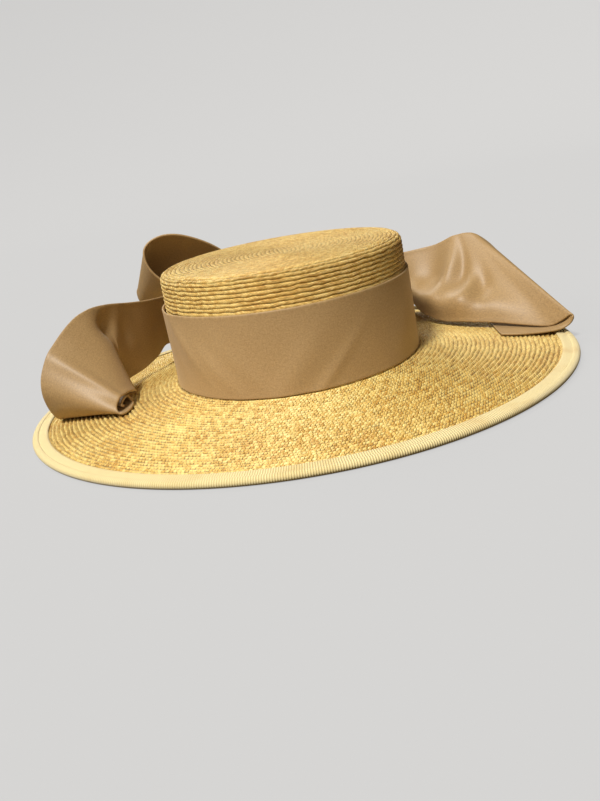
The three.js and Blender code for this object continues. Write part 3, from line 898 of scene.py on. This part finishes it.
RIGHT_SIDE_ROWS = [
    (87.5, 0.13, 0.4, 87.5, 0.13, 0.111),
    (82.1, 0.138, 0.5, 82.1, 0.138, 0.12),
    (66.1, 0.189, 0.669, 65.8, 0.224, 0.112),
    (50.2, 0.274, 0.751, 49.3, 0.315, 0.131),
    (39.8, 0.358, 0.793, 37, 0.313, 0.227),
    (33.3, 0.438, 0.834, 28.8, 0.296, 0.226),
    (28, 0.515, 0.89, 22, 0.287, 0.096),
    (24.1, 0.568, 0.947, 13.1, 0.334, 0.025),
    (21.6, 0.606, 0.99, 5.5, 0.432, 0.036),
    (20.1, 0.633, 1.013, 0, 0.593, 0.052),
    (19.1, 0.655, 1.025, -4.8, 0.756, 0.055),
    (18.1, 0.678, 1.029, -7.7, 0.873, 0.07),
    (17.2, 0.701, 1.021, -9.2, 0.94, 0.136),
    (16.2, 0.733, 0.984, -10.3, 0.994, 0.213),
    (14.7, 0.793, 0.876, -10.7, 1.013, 0.203),
    (12.6, 0.859, 0.68, -10.6, 1.003, 0.149),
    (9.7, 0.922, 0.419, -10.5, 0.97, 0.097),
    (7.2, 0.96, 0.185, -10.6, 0.918, 0.06),
    (5.8, 0.945, 0.048, -10.8, 0.821, 0.037),
    (6.9, 0.801, 0.03, -10.9, 0.669, 0.022),
    (9.5, 0.613, 0.02, -10.3, 0.547, 0.02),
]
LEFT_STANDING_ROWS = [
    (92.5, 0.17, 0.58, 92.3, 0.222, 0.55),
    (97.9, 0.158, 0.62, 97.1, 0.255, 0.53),
    (117.1, 0.139, 0.779, 111.2, 0.419, 0.523),
    (130.2, 0.235, 0.856, 120.9, 0.643, 0.562),
    (136.1, 0.315, 0.969, 128.1, 0.778, 0.663),
    (138.7, 0.378, 1.12, 130.7, 0.819, 0.785),
    (139.6, 0.416, 1.281, 131.5, 0.822, 0.898),
    (138.8, 0.423, 1.435, 131.3, 0.798, 0.982),
    (136.3, 0.386, 1.521, 129.4, 0.73, 1.008),
    (132, 0.315, 1.539, 125.5, 0.623, 0.978),
    (126.1, 0.236, 1.469, 119.9, 0.508, 0.921),
    (116.7, 0.174, 1.294, 111.9, 0.383, 0.846),
    (107.5, 0.151, 1.064, 104.6, 0.301, 0.789),
    (97.9, 0.15, 0.815, 97.1, 0.235, 0.745),
    (92.5, 0.152, 0.806, 92.3, 0.204, 0.762),
]
RIGHT_STANDING_ROWS = [
    (87.5, 0.17, 0.58, 87.7, 0.222, 0.55),
    (82.1, 0.158, 0.62, 82.9, 0.255, 0.53),
    (63.7, 0.169, 0.751, 69.7, 0.442, 0.528),
    (50.9, 0.323, 0.794, 60.8, 0.66, 0.574),
    (45.1, 0.449, 0.807, 55.2, 0.788, 0.649),
    (43.2, 0.529, 0.853, 52.3, 0.856, 0.744),
    (42.8, 0.554, 0.971, 51.4, 0.867, 0.827),
    (43.7, 0.542, 1.081, 51.9, 0.841, 0.894),
    (46.5, 0.482, 1.141, 53.9, 0.769, 0.919),
    (50.9, 0.4, 1.14, 57.1, 0.668, 0.906),
    (57.4, 0.301, 1.095, 62.2, 0.539, 0.863),
    (67.1, 0.207, 0.995, 70.3, 0.395, 0.809),
    (75.1, 0.166, 0.898, 77, 0.308, 0.766),
    (82.1, 0.15, 0.815, 82.9, 0.235, 0.745),
    (87.5, 0.152, 0.806, 87.7, 0.204, 0.762),
]

# %% Loop surfaces


def loop_edges(table):
    """Both edges of the ribbon at every row, in metres: six numbers a row."""
    rows = np.array(table, dtype=float)
    ends = []
    for first in (0, 3):
        out = rows[:, first + 1] * BRIM_WIDTH
        height = brim_top(out) + rows[:, first + 2] * BOW_RIBBON_WIDTH
        ends.append(oval(out, np.radians(rows[:, first]), height))
    return np.concatenate(ends, axis=1)


def through_rows(rows, at):
    """Catmull-Rom curve through the rows, at row numbers with fractions."""
    i = np.clip(np.floor(at).astype(int), 0, len(rows) - 2)
    t = (at - i)[:, None]
    last = len(rows) - 1
    a, b, c, d = (rows[np.clip(i + n, 0, last)] for n in (-1, 0, 1, 2))
    return b + 0.5 * t * (c - a + t * (2 * a - 5 * b + 4 * c - d + t * (3 * (b - c) + d - a)))


def ribbon_loop(name, table, folds, half=0.55 * MM, bead=0.6, steps=12, count=36):
    """Closed ribbon slab through the rows of a table, with folds pressed in along the normal.

    A fold is (row, share across, half length in rows, half width across, slant in rows over the
    width, depth in mm), and its shape is a bell both ways. Gives the piece and the ribbon's size.
    """
    rows = loop_edges(table)
    at = np.linspace(0, len(rows) - 1, (len(rows) - 1) * steps + 1)
    lines = through_rows(rows, at)
    upper, lower = lines[:, None, :3], lines[:, None, 3:]
    section = slab_section(count, half, bead)
    share = section[None, :, 0]
    middle = upper + (lower - upper) * share[..., None]
    push = np.zeros(middle.shape[:2])
    for row, at_share, long, wide, slant, depth in folds:
        along = at[:, None] - row - slant * (share - at_share)
        push += depth * MM * np.exp(-((along / long) ** 2)) * np.exp(-(((share - at_share) / wide) ** 2))
    tangent = np.gradient(middle, axis=0)
    width = np.broadcast_to(lower - upper, middle.shape)
    normal = np.cross(tangent, width)
    normal /= np.maximum(np.linalg.norm(normal, axis=-1, keepdims=True), 1e-12)
    sideways = width / np.linalg.norm(width, axis=-1, keepdims=True)
    points = middle + normal * (section[None, :, 1] + push)[..., None] + sideways * section[None, :, 2, None]
    centre = (lines[:, :3] + lines[:, 3:]) / 2
    travel = np.concatenate([[0], np.cumsum(np.linalg.norm(np.diff(centre, axis=0), axis=1))])
    across = np.mean(np.linalg.norm(width[:, 0], axis=-1))
    uv = np.stack(
        np.broadcast_arrays(travel[:, None], (np.append(share, share[0, 0]) * across)[None, :]), axis=-1
    )
    piece = grid_piece(name, points, uv, across=True, caps=True)
    print(name, "ribbon", round(travel[-1] / MM), "by", round(across / MM), "mm")
    return piece, (float(across), float(travel[-1]))


# %% Four loops
LEFT_SIDE_FOLDS = [
    (9.4, 0.23, 1.3, 0.14, 0, -5.5),
    (8.1, 0.55, 1.0, 0.26, 0, 6),
    (6.9, 0.42, 0.5, 0.2, 0, -2),
    (12.4, 0.4, 1.0, 0.4, 0, -1.5),
    (14.0, 0.5, 0.4, 0.7, 0, 2.2),
]
RIGHT_SIDE_FOLDS = [
    (6.2, 0.34, 0.8, 0.4, 0, 3.5),
    (7.3, 0.48, 0.6, 0.32, -1.4, -5),
    (7.95, 0.5, 0.5, 0.28, -2.3, 3.6),
    (8.25, 0.72, 0.35, 0.3, -1.7, -2.2),
    (8.95, 0.66, 0.42, 0.2, -2.6, 3.6),
    (7.0, 0.8, 2.4, 0.2, 0, -13),
]
LOOPS = [
    ("bow_left_side", "loop_left_side", LEFT_SIDE_ROWS, LEFT_SIDE_FOLDS, "laid"),
    ("bow_right_side", "loop_right_side", RIGHT_SIDE_ROWS, RIGHT_SIDE_FOLDS, "laid"),
    ("bow_left_standing", "loop_left_standing", LEFT_STANDING_ROWS, [], "gathered"),
    ("bow_right_standing", "loop_right_standing", RIGHT_STANDING_ROWS, [], "gathered"),
]
for name, node, table, folds, held in LOOPS:
    piece, flat = ribbon_loop(name, table, folds)
    finish_piece(piece, shaded_bow_satin, "satin_ribbon", node)

# %% [markdown]
# ## Knot
#
# The knot is one turn of ribbon pulled tight round the roots of the loops. Pulling gathers it, so it
# is full of small pleats that run round it, deepest at its waist.

# %% Knot
KNOT_WIDTH = 24 * MM
KNOT_DEPTH = 27 * MM
KNOT_HEIGHT = 48 * MM
knot_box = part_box("bow_knot")
knot_middle = (np.array(knot_box[0]) + np.array(knot_box[1])) / 2
knot_turn = bearings(96)
knot_share = np.linspace(0, 1, 81)
pleats = 0.55 * MM * np.cos(2 * np.pi * 5 * knot_share)
pleats = pleats + 0.25 * MM * np.cos(2 * np.pi * 13 * knot_share + 0.8)
waist = 1.5 * MM * np.sin(np.pi * knot_share)
knot_share = np.concatenate([knot_share, knot_share[::-1]])
knot_off = np.concatenate([RIBBON + pleats - waist, (pleats - waist)[::-1]])
drift = 0.2 * MM * np.sin(3 * knot_turn[:, None] + 9 * knot_share[None, :])
knot_points = np.stack(
    np.broadcast_arrays(
        (knot_share[None, :] - 0.5) * KNOT_WIDTH,
        knot_middle[1] + (KNOT_DEPTH / 2 + knot_off + drift) * np.cos(knot_turn)[:, None],
        knot_middle[2] + (KNOT_HEIGHT / 2 + knot_off + drift) * np.sin(knot_turn)[:, None],
    ),
    axis=-1,
)
knot_uv = np.stack(
    np.broadcast_arrays(
        (np.append(knot_turn, 2 * np.pi) / (2 * np.pi) * 0.12)[:, None],
        (np.append(knot_share, 0.0) * 0.06)[None, :],
    ),
    axis=-1,
)
knot = grid_piece("satin_knot", knot_points, knot_uv, around=True, across=True)
finish_piece(knot, shaded_bow_satin, "satin_ribbon", "bow_knot")

# %% [markdown]
# ## Floor, backdrop and light
#
# The picture has a plain pale grey ground. A round sheet that starts as the floor and curves up into
# a wall gives it without a horizon on any side. It glows a little, so it stays even, and the hat
# neither sees it nor is shaded by it. Four distant lamps light the hat: a strong one high on the
# left of the front makes the tight shadows, and three weak ones and a faint warm room soften them.

# %% Stage
sweep_turn = np.linspace(0, np.pi / 2, 24)
FLOOR_REACH = 2.0
WALL_BEND = 1.5
bend_out = FLOOR_REACH + WALL_BEND * np.sin(sweep_turn)
sweep_out = np.concatenate([[0.001, 0.6, 1.4], bend_out, [FLOOR_REACH + WALL_BEND]])
sweep_up = np.concatenate([[0.0, 0.0, 0.0], WALL_BEND - WALL_BEND * np.cos(sweep_turn), [4.5]])
room_turn = bearings(96)
stage_points = np.stack(
    np.broadcast_arrays(
        np.cos(room_turn)[:, None] * sweep_out,
        np.sin(room_turn)[:, None] * sweep_out,
        sweep_up[None, :],
    ),
    axis=-1,
)
stage_uv = np.zeros((len(room_turn) + 1, len(sweep_out), 2))
backdrop = grid_piece("backdrop", stage_points[:, ::-1], stage_uv, around=True)
paper, tree, shader = new_material("backdrop paper")
shader.inputs["Base Color"].default_value = (0.12, 0.12, 0.12, 1)
shader.inputs["Roughness"].default_value = 1.0
shader.inputs["Specular IOR Level"].default_value = 0.0
shader.inputs["Emission Color"].default_value = (1.0, 1.0, 1.0, 1)
shader.inputs["Emission Strength"].default_value = 0.50
backdrop.data.materials.append(paper)
backdrop.visible_diffuse = False
backdrop.visible_glossy = False
backdrop.visible_shadow = False

world = bpy.data.worlds.new("soft room")
world.use_nodes = True
world.node_tree.nodes["Background"].inputs["Color"].default_value = (1.0, 0.76, 0.45, 1)
world.node_tree.nodes["Background"].inputs["Strength"].default_value = 0.06
bpy.context.scene.world = world


def far_lamp(name, place, power, spread, colour):
    """Distant lamp of an even strength: place is where it stands as seen from the hat."""
    lamp = bpy.data.lights.new(name, "SUN")
    lamp.energy = power
    lamp.angle = math.radians(spread)
    lamp.color = colour
    holder = bpy.data.objects.new(name, lamp)
    bpy.context.scene.collection.objects.link(holder)
    away = np.array(place, dtype=float)
    away /= np.linalg.norm(away)
    sideways = np.cross([0.0, 1.0, 0.0], away)
    sideways /= np.linalg.norm(sideways)
    turned = np.eye(4)
    turned[:3, 0] = sideways
    turned[:3, 1] = np.cross(away, sideways)
    turned[:3, 2] = away
    turned[:3, 3] = away
    holder.matrix_world = Matrix(turned.tolist())
    return holder


far_lamp("key lamp", (-0.30, -0.45, 0.84), 3.60, 10, (1.0, 0.97, 0.92))
far_lamp("left lamp", (-0.85, -0.18, 0.50), 0.70, 30, (1.0, 0.96, 0.94))
far_lamp("front lamp", (0.00, -0.87, 0.50), 0.45, 40, (1.0, 0.86, 0.66))
far_lamp("back lamp", (-0.19, 0.72, 0.67), 1.10, 30, (1.0, 0.97, 0.9))
